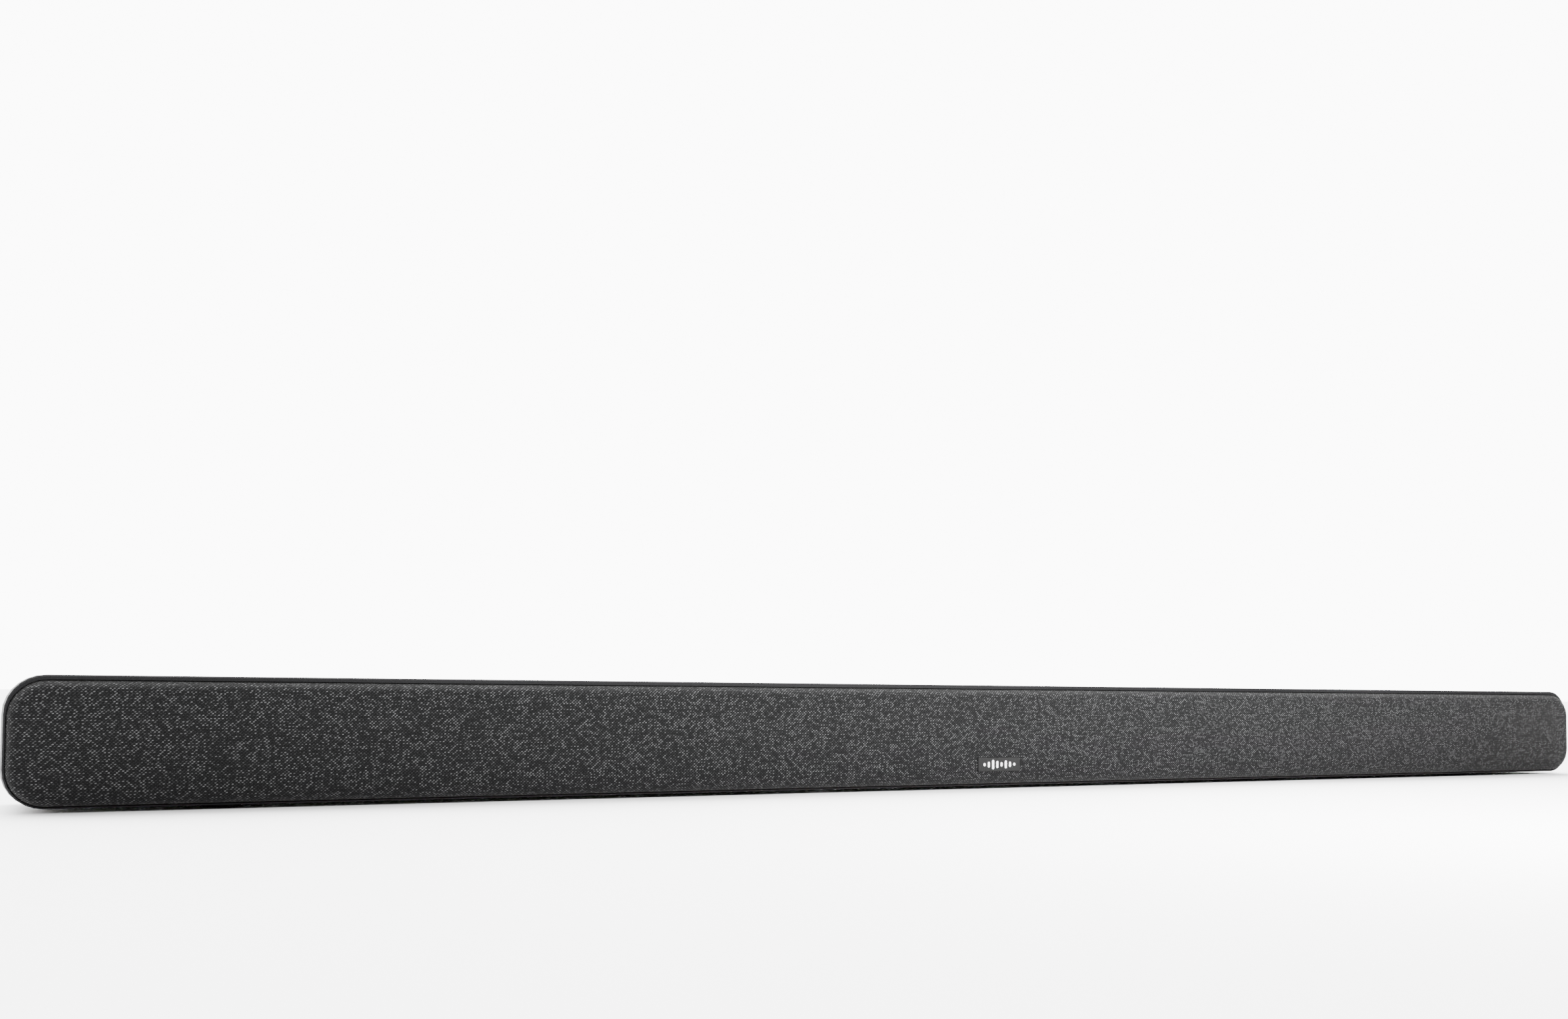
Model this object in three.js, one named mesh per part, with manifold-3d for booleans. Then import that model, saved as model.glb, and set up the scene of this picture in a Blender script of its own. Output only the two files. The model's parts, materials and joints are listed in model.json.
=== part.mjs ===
// A long, low soundbar: a moulded cabinet behind a cloth-covered grille. Inside are four racetrack
// woofers, two dome tweeters, the boards, the rear sockets and the five top buttons.
// Millimetres, +Z up, +X along the bar, front at -Y, feet standing on z = 0.
import * as THREE from "three";
import { mergeVertices } from "three/addons/utils/BufferGeometryUtils.js";
import Module from "manifold-3d";

const wasm = await Module();
wasm.setup();

// ---- Driving dimensions ----
const barLength = 1050;
const barDepth = 83;
const barHeight = 60;
const footHeight = 2;
const cornerRadius = 17;
const wall = 2.5;
const topWall = 3.5;
const gap = 0.3;

const clothThickness = 0.7;
// How far the cloth stands inside the cabinet's outline
const clothMargin = { side: 1.2, top: 2.4, bottom: 1 };
const frontRound = 6; // rounding of the cloth's front edge
const rearRound = 6; // rounding of the cabinet's rear edge
const rimDepth = 14.5; // from the badge's face back to the floor of the cabinet's front pocket
const lipDepth = 5.5; // from the badge's face back to the lip around the pocket
const endTaper = 9; // how far each end of the cabinet draws in from its pocket to its back

const baffleThickness = 3;
const wooferPlaces = [-430, -250, 250, 430];
const tweeterPlaces = [-340, 340];
const buttonPlaces = [-52, -26, 0, 26, 52];
const footPlaces = { x: 430, front: -14, rear: 26 };
const keyholeX = 350;
const keyholeZ = 32;

// ---- Values worked out from them ----
const frontY = -barDepth / 2;
const rearY = barDepth / 2;
const bodyHeight = barHeight - footHeight;
const middleZ = footHeight + bodyHeight / 2;
const rimY = frontY + rimDepth;
const lipY = frontY + lipDepth;
const clothFrontY = frontY + 0.9;
const baffleFrontY = rimY + 3.5;
const baffleBackY = baffleFrontY + baffleThickness;
const cavityTop = barHeight - topWall;
const cavityBottom = footHeight + wall;
const cavityMiddle = (cavityTop + cavityBottom) / 2;
const cavityHeight = cavityTop - cavityBottom;
const overshoot = 2; // how far a cutting solid runs past the face it cuts

const cornerSteps = 7;
const ovalSteps = 4;
const roundSides = 14;

// ---- Materials ----
const finish = (color, roughness, metalness = 0) =>
  new THREE.MeshStandardMaterial({ color, roughness, metalness });
const cabinetPlastic = finish(0x242425, 0.55);
const innerPlastic = finish(0x1a1a1b, 0.7);
const charcoalCloth = finish(0x3c3c3d, 0.95);
const badgeMetal = finish(0x55565a, 0.4, 0.6);
const rubber = finish(0x141414, 0.9);
const keyPlastic = finish(0x2e2e30, 0.45);
const conePaper = finish(0x1d1d1f, 0.8);
const domeSilk = finish(0x101012, 0.6);
const magnetSteel = finish(0x8d8f92, 0.35, 0.9);
const basketSteel = finish(0x2b2c2e, 0.5, 0.6);
const boardGreen = finish(0x1f4a31, 0.5);
const heatSinkAlloy = finish(0x9fa2a5, 0.4, 0.9);
const socketSteel = finish(0xb5b7ba, 0.3, 0.9);
const socketPlastic = finish(0x111112, 0.5);
const screwSteel = finish(0x2a2a2c, 0.35, 0.8);
const leadVinyl = finish(0x8c1d1d, 0.6);

// ---- Solids ----
// A closed geometry as a manifold solid.
function solid(geometry) {
  const bare = geometry.index ? geometry.toNonIndexed() : geometry.clone();
  bare.deleteAttribute("normal");
  bare.deleteAttribute("uv");
  const merged = mergeVertices(bare, 1e-4);
  const vertProperties = new Float32Array(merged.attributes.position.array);
  const triVerts = new Uint32Array(merged.index.array);
  return new wasm.Manifold(new wasm.Mesh({ numProp: 3, vertProperties, triVerts }));
}

function geometryOf(shape) {
  const mesh = shape.getMesh();
  const geometry = new THREE.BufferGeometry();
  geometry.setAttribute("position", new THREE.BufferAttribute(new Float32Array(mesh.vertProperties), 3));
  geometry.setIndex(new THREE.BufferAttribute(new Uint32Array(mesh.triVerts), 1));
  geometry.computeVertexNormals();
  return geometry;
}

const join = (first, ...others) => others.reduce((made, other) => made.add(other), first);
const cut = (first, ...others) => others.reduce((made, other) => made.subtract(other), first);

// A block between two corners.
function block([x0, x1], [y0, y1], [z0, z1]) {
  const geometry = new THREE.BoxGeometry(x1 - x0, y1 - y0, z1 - z0);
  geometry.translate((x0 + x1) / 2, (y0 + y1) / 2, (z0 + z1) / 2);
  return solid(geometry);
}

// A round bar along Y from y0 to y1.
function rodY(radius, [y0, y1], x = 0, z = 0, sides = roundSides) {
  const geometry = new THREE.CylinderGeometry(radius, radius, y1 - y0, sides);
  geometry.translate(x, (y0 + y1) / 2, z);
  return solid(geometry);
}

// A round bar along X from x0 to x1.
function rodX(radius, [x0, x1], y, z, sides = roundSides) {
  const geometry = new THREE.CylinderGeometry(radius, radius, x1 - x0, sides);
  geometry.rotateZ(-Math.PI / 2);
  geometry.translate((x0 + x1) / 2, y, z);
  return solid(geometry);
}

// A round bar along Z from z0 to z1.
function rodZ(radius, [z0, z1], x = 0, y = 0, sides = roundSides) {
  const geometry = new THREE.CylinderGeometry(radius, radius, z1 - z0, sides);
  geometry.rotateX(Math.PI / 2);
  geometry.translate(x, y, (z0 + z1) / 2);
  return solid(geometry);
}

// A profile of [radius, y] pairs, rising in y, spun about the Y axis.
function spun(profile, sides = roundSides) {
  const points = profile.map(([radius, y]) => new THREE.Vector2(radius, y));
  return solid(new THREE.LatheGeometry(points, sides));
}

// The corner arcs of a rounded rectangle in the XZ plane, anticlockwise seen from the front.
function outline({ w, h, r, x = 0, z = 0 }, steps) {
  const points = [];
  const corners = [[1, 1], [-1, 1], [-1, -1], [1, -1]];
  corners.forEach(([sideX, sideZ], quarter) => {
    for (let i = 0; i <= steps; i++) {
      const angle = ((quarter + i / steps) * Math.PI) / 2;
      const pointX = x + sideX * (w / 2 - r) + r * Math.cos(angle);
      const pointZ = z + sideZ * (h / 2 - r) + r * Math.sin(angle);
      points.push([pointX, pointZ]);
    }
  });
  return points;
}

// The walls between rounded rectangles that stand one behind the other.
function walls(rings, closed) {
  const positions = [];
  const last = closed ? rings.length : rings.length - 1;
  for (let k = 0; k < last; k++) {
    const near = rings[k];
    const far = rings[(k + 1) % rings.length];
    near.forEach((point, i) => {
      const j = (i + 1) % near.length;
      positions.push(...point, ...far[i], ...far[j], ...point, ...far[j], ...near[j]);
    });
  }
  return positions;
}

function solidOfPositions(positions) {
  const geometry = new THREE.BufferGeometry();
  geometry.setAttribute("position", new THREE.Float32BufferAttribute(positions, 3));
  return solid(geometry);
}

// A solid through sections {y, w, h, r, x, z} that rise in y, closed by a flat cap at each end.
function loft(sections, steps = cornerSteps) {
  const rings = sections.map((s) => outline(s, steps).map(([x, z]) => [x, s.y, z]));
  const positions = walls(rings, false);
  const front = rings[0];
  const back = rings[rings.length - 1];
  for (let i = 1; i + 1 < front.length; i++) {
    positions.push(...front[0], ...front[i], ...front[i + 1]);
    positions.push(...back[0], ...back[i + 1], ...back[i]);
  }
  return solidOfPositions(positions);
}

// A ring whose section goes up the outside and back down the inside.
function loftRing(sections, steps = ovalSteps) {
  const rings = sections.map((s) => outline(s, steps).map(([x, z]) => [x, s.y, z]));
  return solidOfPositions(walls(rings, true));
}

// A racetrack outline: round ends as wide as it is high.
const oval = (y, w, h, place = {}) => ({ y, w, h, r: h / 2 - 0.1, ...place });

// How far the cabinet's ends have drawn in at a depth.
const drawnIn = (y) => endTaper * Math.max(0, (y - rimY) / (rearY - rimY));

// The bar's own outline, drawn in by an inset.
const barSection = (y, inset) => ({
  y,
  w: barLength - 2 * (drawnIn(y) + inset),
  h: bodyHeight - 2 * inset,
  r: cornerRadius - inset,
  z: middleZ,
});

// The cloth's outline, lower than the cabinet's because a bezel shows over it.
const clothSection = (y, inset) => ({
  y,
  w: barLength - 2 * (clothMargin.side + inset),
  h: bodyHeight - clothMargin.top - clothMargin.bottom - 2 * inset,
  r: cornerRadius - 1 - inset,
  z: middleZ - (clothMargin.top - clothMargin.bottom) / 2,
});

// Sections of a quarter-round edge of a radius, from a flat face at y towards +Y or -Y.
function roundedEdge(section, y, inset, radius, towards, steps = 3) {
  const sections = [];
  for (let i = 0; i <= steps; i++) {
    const angle = (i / steps) * (Math.PI / 2);
    const along = y + towards * radius * (1 - Math.cos(angle));
    sections.push(section(along, inset + radius * (1 - Math.sin(angle))));
  }
  return towards > 0 ? sections : sections.reverse();
}

// ---- Layout of the inside ----
const partitionX = 196;
const screwPlaces = [
  { name: "outer_left", x: -502, z: cavityMiddle },
  { name: "middle_left", x: -307.5, z: cavityMiddle },
  { name: "inner_left", x: -180, z: 49.5 },
  { name: "inner_right", x: 180, z: 49.5 },
  { name: "middle_right", x: 307.5, z: cavityMiddle },
  { name: "outer_right", x: 502, z: cavityMiddle },
];
const screwSeatY = 31;
const pillarEndY = 28.7;
const signalBay = { x: [-140, 50], floorY: 21, top: 42, window: { x: [-134, 44], z: [6, 30] } };
const mainsBay = { x: [100, 160], floorY: 21, top: 42 };
const bayWall = 2;
const boardBottom = 9;
const boardThickness = 1.6;
const boardTop = boardBottom + boardThickness;
const mainBoard = { x: [-145, 68], y: [-16, 17] };
const powerBoard = { x: [80, 182], y: [-16, 17] };
const rebateDepth = 1.5;
const coverPlace = { x: 496, y: [-22, 30] };
const controlY = 4;
const leadHole = { y: -12, z: 40, radius: 2.6 };
const mainsCentre = { x: 130, z: 22 };

// ---- The cabinet ----
function rearCabinet() {
  const lipEase = 0.6;
  const outer = loft([
    barSection(lipY, lipEase),
    barSection(lipY + lipEase, 0),
    barSection(rimY, 0),
    ...roundedEdge(barSection, rearY, 0, rearRound, -1),
  ]);
  const cavitySection = (y, inset) => ({
    y,
    w: barLength - 2 * (wall + drawnIn(y)) - inset,
    h: cavityHeight - inset,
    r: cornerRadius - topWall - inset / 2,
    z: cavityMiddle,
  });
  // The pocket that the grille sits in, one gap wider than the cloth
  const pocket = loft([clothSection(lipY - overshoot, -gap), clothSection(rimY, -gap)]);
  const cavity = loft([
    cavitySection(rimY - overshoot, 0),
    cavitySection(rearY - rearRound - wall, 0),
    cavitySection(rearY - wall, 7),
  ]);

  const additions = [];
  for (const side of [-1, 1]) {
    const x = side * partitionX;
    additions.push(block([x - 1.5, x + 1.5], [baffleBackY + gap, rearY - 1], [footHeight + 1, barHeight - 2]));
    const pocketX = side * keyholeX;
    additions.push(block([pocketX - 12, pocketX + 12], [rearY - 11, rearY - 1], [keyholeZ - 12, keyholeZ + 15]));
    // Hangers for the button board
    additions.push(rodZ(2.5, [52.1, barHeight - 2.5], side * 78, controlY, 10));
    // Hooks that hold the speaker lead up under the top wall
    for (const clipX of [288, 335, 385]) {
      const hookX = [side * clipX - 2, side * clipX + 2];
      additions.push(block(hookX, [-5.8, -4.7], [51.1, barHeight - 2.5]));
      additions.push(block(hookX, [-5.8, -1], [51.1, 52]));
    }
  }
  for (const bay of [signalBay, mainsBay]) {
    const outside = [bay.x[0] - bayWall, bay.x[1] + bayWall];
    additions.push(block(outside, [bay.floorY - bayWall, rearY - 1], [footHeight + 1, bay.top + bayWall]));
  }
  for (const place of screwPlaces)
    additions.push(rodY(5.5, [screwSeatY - 2, rearY - 1], place.x, place.z, 14));
  for (const board of [mainBoard, powerBoard])
    for (const x of [board.x[0] + 5, board.x[1] - 5])
      for (const y of [board.y[0] + 4, board.y[1] - 4])
        additions.push(rodZ(2.5, [footHeight + 1, boardBottom - 0.2], x, y, 8));
  const inner = join(...additions).intersect(outer);

  const cuts = [];
  for (const bay of [signalBay, mainsBay])
    cuts.push(block(bay.x, [bay.floorY, rearY + overshoot], [footHeight - overshoot, bay.top]));
  const opening = signalBay.window;
  cuts.push(block(opening.x, [signalBay.floorY - 5, signalBay.floorY + 1], opening.z));
  const inletHalf = { w: 10.5, h: 7.5 };
  cuts.push(
    block(
      [mainsCentre.x - inletHalf.w, mainsCentre.x + inletHalf.w],
      [mainsBay.floorY - 5, mainsBay.floorY + 1],
      [mainsCentre.z - inletHalf.h, mainsCentre.z + inletHalf.h],
    ),
  );
  for (const place of screwPlaces) {
    cuts.push(rodY(3.9, [screwSeatY, rearY + overshoot], place.x, place.z, 14));
    cuts.push(rodY(1.9, [screwSeatY - 4, screwSeatY + 1], place.x, place.z, 10));
  }
  for (const side of [-1, 1]) {
    const x = side * keyholeX;
    cuts.push(block([x - 10.3, x + 10.3], [rearY - 1.5, rearY + overshoot], [keyholeZ - 10.3, keyholeZ + 13.3]));
    cuts.push(block([x - 9, x + 9], [rearY - 9, rearY], [keyholeZ - 9, keyholeZ + 12]));
    const leadX = side * partitionX;
    cuts.push(rodX(leadHole.radius, [leadX - 4, leadX + 4], leadHole.y, leadHole.z, 12));
    for (const y of [footPlaces.front, footPlaces.rear])
      cuts.push(rodZ(9.4, [footHeight - overshoot, footHeight + 0.9], side * footPlaces.x, y, 20));
  }
  const rebate = barHeight - rebateDepth;
  const slack = 0.3;
  cuts.push(
    block(
      [-coverPlace.x - slack, coverPlace.x + slack],
      [coverPlace.y[0] - slack, coverPlace.y[1] + slack],
      [rebate, barHeight + overshoot],
    ),
  );
  cuts.push(block([-68, 68], [controlY - 7, controlY + 7], [cavityTop - 2, barHeight]));
  return cut(join(cut(outer, pocket, cavity), inner), ...cuts);
}

const keySection = { w: 18, h: 8, r: 3.6 };

// A rounded key or key hole between two heights, its long side along X.
function keyPrism(x, [z0, z1], grow, steps = 4) {
  const size = { w: keySection.w + 2 * grow, h: keySection.h + 2 * grow, r: keySection.r + grow };
  return loft([{ y: z0, ...size }, { y: z1, ...size }], steps)
    .rotate([90, 0, 0])
    .translate([x, controlY, 0]);
}

function topCover() {
  const top = barHeight;
  const bottom = barHeight - rebateDepth + 0.1;
  const dish = { w: 148, h: 15, r: 7.4 };
  const plate = block([-coverPlace.x, coverPlace.x], coverPlace.y, [bottom, top]);
  const recess = loft([{ y: top - 0.6, ...dish }, { y: top + 1, ...dish }], 6)
    .rotate([90, 0, 0])
    .translate([0, controlY, 0]);
  const holes = buttonPlaces.map((x) => keyPrism(x, [bottom - 1, top + 1], 0.3));
  return cut(plate, recess, ...holes);
}

// A key: a cap through the cover, a flange that keeps it in, and a stem over its switch.
function button(x) {
  const cap = keyPrism(x, [58.1, barHeight - 0.1], 0);
  const flange = keyPrism(x, [57.3, 58.2], 1);
  const stem = rodZ(2, [54.2, 57.5], x, controlY, 10);
  return join(cap, flange, stem);
}

function foot() {
  return spun([[0, 0], [8.2, 0], [9, 0.8], [9, footHeight + 0.7], [0, footHeight + 0.7]], 20).rotate([90, 0, 0]);
}

// ---- The front ----
function grilleCloth() {
  const back = rimY - gap;
  const innerRound = frontRound - clothThickness;
  const outer = loft([...roundedEdge(clothSection, clothFrontY, 0, frontRound, 1), clothSection(back, 0)]);
  const inner = loft([
    ...roundedEdge(clothSection, clothFrontY + clothThickness, clothThickness, innerRound, 1),
    clothSection(back + overshoot, clothThickness),
  ]);
  return cut(outer, inner);
}

const frameInset = clothThickness + gap;
const frameFrontY = clothFrontY + clothThickness + gap;

function grilleFrame() {
  const wallThickness = 2;
  const back = rimY - gap - 0.2;
  const outer = loft([
    ...roundedEdge(clothSection, frameFrontY, frameInset, frontRound - frameInset, 1),
    clothSection(back, frameInset),
  ]);
  const inner = loft([
    clothSection(frameFrontY + wallThickness, frameInset + wallThickness + 1.5),
    clothSection(frameFrontY + wallThickness + 3, frameInset + wallThickness),
    clothSection(back + overshoot, frameInset + wallThickness),
  ]);
  const posts = [-500, -307.5, -150, 150, 307.5, 500].map((x) =>
    rodY(2.5, [frameFrontY + 1, baffleFrontY - 0.3], x, cavityMiddle, 10),
  );
  // Upright slots in front of each driver
  const slots = [];
  const slotPitch = 10;
  const slotHalf = 3.5;
  const addSlots = (centre, count, halfHeight) => {
    for (let i = 0; i < count; i++) {
      const x = centre + (i - (count - 1) / 2) * slotPitch;
      slots.push(
        block(
          [x - slotHalf, x + slotHalf],
          [frameFrontY - 1, frameFrontY + wallThickness + 1],
          [cavityMiddle - halfHeight, cavityMiddle + halfHeight],
        ),
      );
    }
  };
  wooferPlaces.forEach((x) => addSlots(x, 8, 17));
  tweeterPlaces.forEach((x) => addSlots(x, 4, 13));
  return cut(join(cut(outer, inner), ...posts), ...slots);
}

function badgePlate() {
  const size = { w: 30, h: 8, r: 0.8, z: 14.3 };
  return loft(
    [
      { y: frontY, ...size, w: size.w - 0.6, h: size.h - 0.6, r: 0.5 },
      { y: frontY + 0.3, ...size },
      { y: clothFrontY - 0.2, ...size },
    ],
    3,
  );
}

function frontBaffle() {
  const fit = 0.3;
  const size = {
    w: barLength - 2 * (wall + drawnIn(baffleBackY) + fit),
    h: cavityHeight - 2 * fit,
    r: cornerRadius - topWall - fit,
    z: cavityMiddle,
  };
  const plate = loft([{ y: baffleFrontY, ...size }, { y: baffleBackY, ...size }]);
  const pillars = screwPlaces.map(({ x, z }) => rodY(4, [baffleBackY - 1, pillarEndY], x, z, 12));
  const pilots = screwPlaces.map(({ x, z }) => rodY(1.8, [12, pillarEndY + 1], x, z, 10));
  const wooferHoles = wooferPlaces.map((x) => {
    const place = { x, z: cavityMiddle };
    return loft([oval(baffleFrontY - 1, 80, 38, place), oval(baffleBackY + 1, 80, 38, place)], ovalSteps);
  });
  const tweeterHoles = tweeterPlaces.map((x) =>
    rodY(15, [baffleFrontY - 1, baffleBackY + 1], x, cavityMiddle),
  );
  return cut(join(plate, ...pillars), ...pilots, ...wooferHoles, ...tweeterHoles);
}

// ---- A racetrack woofer, its mounting face on the baffle at y = 0 and facing -Y ----
const cone = { width: 66, height: 24, frontY: -3.6, neckY: 10, coil: 9.8, coilEndY: 31 };

function wooferBasket() {
  const flange = loft([oval(-2.5, 92, 46), oval(0, 92, 46)], ovalSteps);
  const shell = loft([oval(-1, 78.5, 36.5), oval(4, 78.5, 36.5), oval(25.5, 40, 34)], ovalSteps);
  const hollow = loft([oval(-4, 75.5, 33.5), oval(3.5, 75.5, 33.5), oval(23.7, 37, 31)], ovalSteps);
  const neck = rodY(11.6, [20, 30], 0, 0);
  const windows = [-1, 1].map((side) => block([side * 26 - 10, side * 26 + 10], [8, 17], [-30, 30]));
  const lug = block([-6, 6], [19.5, 22.5], [16, 18.6]);
  return join(cut(join(flange, shell), hollow, neck, ...windows), lug);
}

function wooferMagnet() {
  const frontPlate = [[0, 26], [8.9, 26], [8.9, 35.5], [10.9, 35.5], [10.9, 26], [17, 26], [17, 29]];
  const ring = [[19, 29.2], [19, 37]];
  const backPlate = [[17, 37.2], [17, 41], [0, 41]];
  return spun([...frontPlate, ...ring, ...backPlate], 18);
}

function wooferSurround() {
  const outer = { w: 88, h: 42 };
  const steps = 4;
  const rollTop = [];
  const rollUnder = [];
  const middle = { w: (75 + cone.width + 1) / 2, h: (33 + cone.height + 1) / 2 };
  const half = { w: (75 - cone.width - 1) / 2, h: (33 - cone.height - 1) / 2 };
  for (let i = 0; i <= steps; i++) {
    const angle = (i / steps) * Math.PI;
    const reach = Math.cos(angle);
    const rise = Math.sin(angle);
    rollTop.push(oval(-2.9 - 0.8 - 3 * rise, middle.w + reach * half.w, middle.h + reach * half.h));
    rollUnder.push(oval(-2.9 - 2.6 * rise, middle.w + reach * (half.w - 0.9), middle.h + reach * (half.h - 0.9)));
  }
  rollTop.reverse();
  // Up the outside edge, along under the roll to the inside, then back over the roll
  return loftRing([oval(-3.7, outer.w, outer.h), oval(-2.9, outer.w, outer.h), ...rollUnder, ...rollTop]);
}

function wooferCone() {
  const { width, height, frontY: face, neckY, coil, coilEndY } = cone;
  const body = loft([oval(face, width, height), oval(face + 1, width, height), oval(neckY, 2 * coil + 1, 2 * coil + 0.9),
    oval(neckY + 1, 2 * coil + 0.9, 2 * coil + 0.8)], ovalSteps);
  const front = loft([oval(face - 1, width - 1.6, height - 1.6), oval(face + 0.2, width - 1.6, height - 1.6),
    oval(neckY - 1, 2 * coil - 1, 2 * coil - 1.1)], ovalSteps);
  const former = cut(rodY(10.3, [neckY, coilEndY], 0, 0), rodY(9.5, [neckY + 2, coilEndY + 1], 0, 0));
  const cap = spun([[0, neckY - 6], [6, neckY - 5], [10, neckY - 2.5], [10, neckY + 0.5], [0, neckY + 0.5]]);
  return join(cut(body, front), former, cap);
}

// ---- A dome tweeter, its mounting face on the baffle at y = 0 and facing -Y ----
function tweeterBody() {
  const horn = [[0, 4], [12.4, 4], [12.4, -1], [14.5, -2.5]];
  const faceplate = [[20.4, -2.5], [21, -1.9], [21, -0.2], [14.2, -0.2]];
  const magnet = [[14.2, 9], [16, 9.2], [16, 17], [0, 17]];
  return spun([...horn, ...faceplate, ...magnet], 20);
}

function tweeterDome() {
  return spun([[0, -3.4], [4.5, -2.9], [8, -1.6], [10, 0], [11.8, 0.4], [11.8, 1.2], [0, 1.2]], 20);
}

// ---- Boards ----
const board = ({ x, y }) => block(x, y, [boardBottom, boardTop]);

function mainBoardAssembly() {
  const chips = [
    block([-100, -82], [-12, 3], [boardTop - 0.2, boardTop + 1.8]),
    block([-60, -50], [-12, -4], [boardTop - 0.2, boardTop + 1.6]),
    block([56, 66], [-13, -5], [boardTop - 0.2, boardTop + 5]),
    block([-143, -133], [-13, -5], [boardTop - 0.2, boardTop + 5]),
  ];
  const capacitors = [-30, -16].map((x) => rodZ(4, [boardTop - 0.2, boardTop + 10], x, -9, 12));
  return join(board(mainBoard), ...chips, ...capacitors);
}

function powerBoardAssembly() {
  const transformer = join(
    block([90, 116], [-12, 10], [boardTop - 0.2, boardTop + 4]),
    block([93, 113], [-9, 7], [boardTop + 3, boardTop + 18]),
    block([90, 116], [-12, 10], [boardTop + 17, boardTop + 21]),
  );
  const capacitors = [150, 168].map((x) => rodZ(6.5, [boardTop - 0.2, boardTop + 22], x, -6, 14));
  const choke = rodZ(6, [boardTop - 0.2, boardTop + 12], 130, -6, 12);
  return join(board(powerBoard), transformer, ...capacitors, choke);
}

function heatSink() {
  const x = [0, 46];
  const base = block(x, [-12, 4], [boardTop + 0.3, boardTop + 3.3]);
  const fins = [];
  for (let i = 0; i < 7; i++) {
    const left = x[0] + i * 7.33;
    fins.push(block([left, left + 2], [-12, 4], [boardTop + 3, boardTop + 22]));
  }
  return join(base, ...fins);
}

function buttonBoard() {
  const plate = block([-84, 84], [controlY - 6, controlY + 6], [50.3, 51.8]);
  const switches = buttonPlaces.map((x) => block([x - 3, x + 3], [controlY - 3, controlY + 3], [51.6, 53.3]));
  return join(plate, ...switches);
}

function indicatorBoard() {
  const plate = block([-36, 36], [baffleFrontY - 3.4, baffleFrontY - 2.2], [28, 40]);
  const spacers = [-30, 30].map((x) => rodY(2, [baffleFrontY - 2.4, baffleFrontY - 0.2], x, 34, 10));
  const lamps = [-18, -6, 6, 18].map((x) =>
    block([x - 1.5, x + 1.5], [baffleFrontY - 4.6, baffleFrontY - 3.2], [32.5, 35.5]),
  );
  const receiver = block([27, 33], [baffleFrontY - 7, baffleFrontY - 3.2], [30.5, 37.5]);
  return join(plate, ...spacers, ...lamps, receiver);
}

function wirelessModule() {
  const plate = block([-128, -90], [-14, 12], [30, 31.2]);
  const shield = block([-124, -104], [-11, 9], [31, 34]);
  const legs = [[-125, -11], [-93, 6.4]].map(([x, y]) => rodZ(1.6, [boardTop + 0.3, 30.2], x, y, 8));
  return join(plate, shield, ...legs);
}

// ---- Sockets: the mouth at y = 0 facing +Y, the underside at z = 0, x = 0 in the middle ----
function boxSocket({ w, h, depth, mouth, tongue, keyway }) {
  const [left, right] = [-w / 2, w / 2];
  const shell = block([left, right], [-depth, 0], [0, h]);
  const cavity = block([-mouth.w / 2, mouth.w / 2], [-mouth.depth, 1], [mouth.z, mouth.z + mouth.h]);
  const cavities = keyway
    ? [cavity, block([-keyway.w / 2, keyway.w / 2], [-mouth.depth, 1], [mouth.z - keyway.h, mouth.z + 0.1])]
    : [cavity];
  const opened = cut(shell, ...cavities);
  if (!tongue) return opened;
  const blade = block([-tongue.w / 2, tongue.w / 2], [-mouth.depth - 0.5, -1], [tongue.z, tongue.z + tongue.h]);
  return join(opened, blade);
}

const socketMouthY = 23.5;
const socketForms = {
  network_socket: {
    x: -118, w: 16, h: 13.4, depth: 18, steel: true,
    mouth: { w: 12, h: 7.2, z: 3.6, depth: 13 }, keyway: { w: 6, h: 2 },
  },
  data_socket: {
    x: -92, w: 14.6, h: 7.2, depth: 14, steel: true,
    mouth: { w: 12.6, h: 5.2, z: 1, depth: 9 }, tongue: { w: 11, h: 1.8, z: 3.8 },
  },
  video_input_socket: {
    x: -65, w: 15.6, h: 6.6, depth: 12, steel: true,
    mouth: { w: 14, h: 4.6, z: 1, depth: 8.5 }, tongue: { w: 10.8, h: 1, z: 2.8 },
  },
  video_output_socket: {
    x: -38, w: 15.6, h: 6.6, depth: 12, steel: true,
    mouth: { w: 14, h: 4.6, z: 1, depth: 8.5 }, tongue: { w: 10.8, h: 1, z: 2.8 },
  },
  optical_socket: {
    x: -11, w: 11, h: 11, depth: 15, steel: false,
    mouth: { w: 9, h: 9, z: 1, depth: 12 },
  },
};
const auxPlace = { x: 12, w: 9, h: 9, depth: 13, barrel: 3.4, bore: 1.8 };

function auxSocket() {
  const { w, h, depth, barrel, bore } = auxPlace;
  const body = block([-w / 2, w / 2], [-depth, -2.6], [0, h]);
  const nose = rodY(barrel, [-3, 0], 0, h / 2);
  return cut(join(body, nose), rodY(bore, [-depth + 2, 1], 0, h / 2, 12));
}

// The spring shutter of the optical socket hangs from the top of its mouth and swings inwards.
const shutter = { width: 8.4, top: 9.4, bottom: 1.4, thickness: 0.8, y: -1.6 };

function opticalShutter() {
  const { width, top, bottom, thickness, y } = shutter;
  const flap = block([-width / 2, width / 2], [y - thickness, y], [bottom, top]);
  const pull = block([-1, 1], [y - 0.2, y + 0.8], [bottom + 2, bottom + 4.4]);
  return join(flap, pull);
}

function jackPanel() {
  const plate = block([-138, 48], [signalBay.floorY + 0.3, signalBay.floorY + 1.5], [4.2, 33]);
  const slack = 0.4;
  const socketZ = boardTop + 0.2;
  const holes = Object.values(socketForms).map(({ x, w, h }) =>
    block([x - w / 2 - slack, x + w / 2 + slack], [20, 24], [socketZ - slack, socketZ + h + slack]),
  );
  holes.push(rodY(auxPlace.barrel + slack, [20, 24], auxPlace.x, socketZ + auxPlace.h / 2));
  return cut(plate, ...holes);
}

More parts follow.
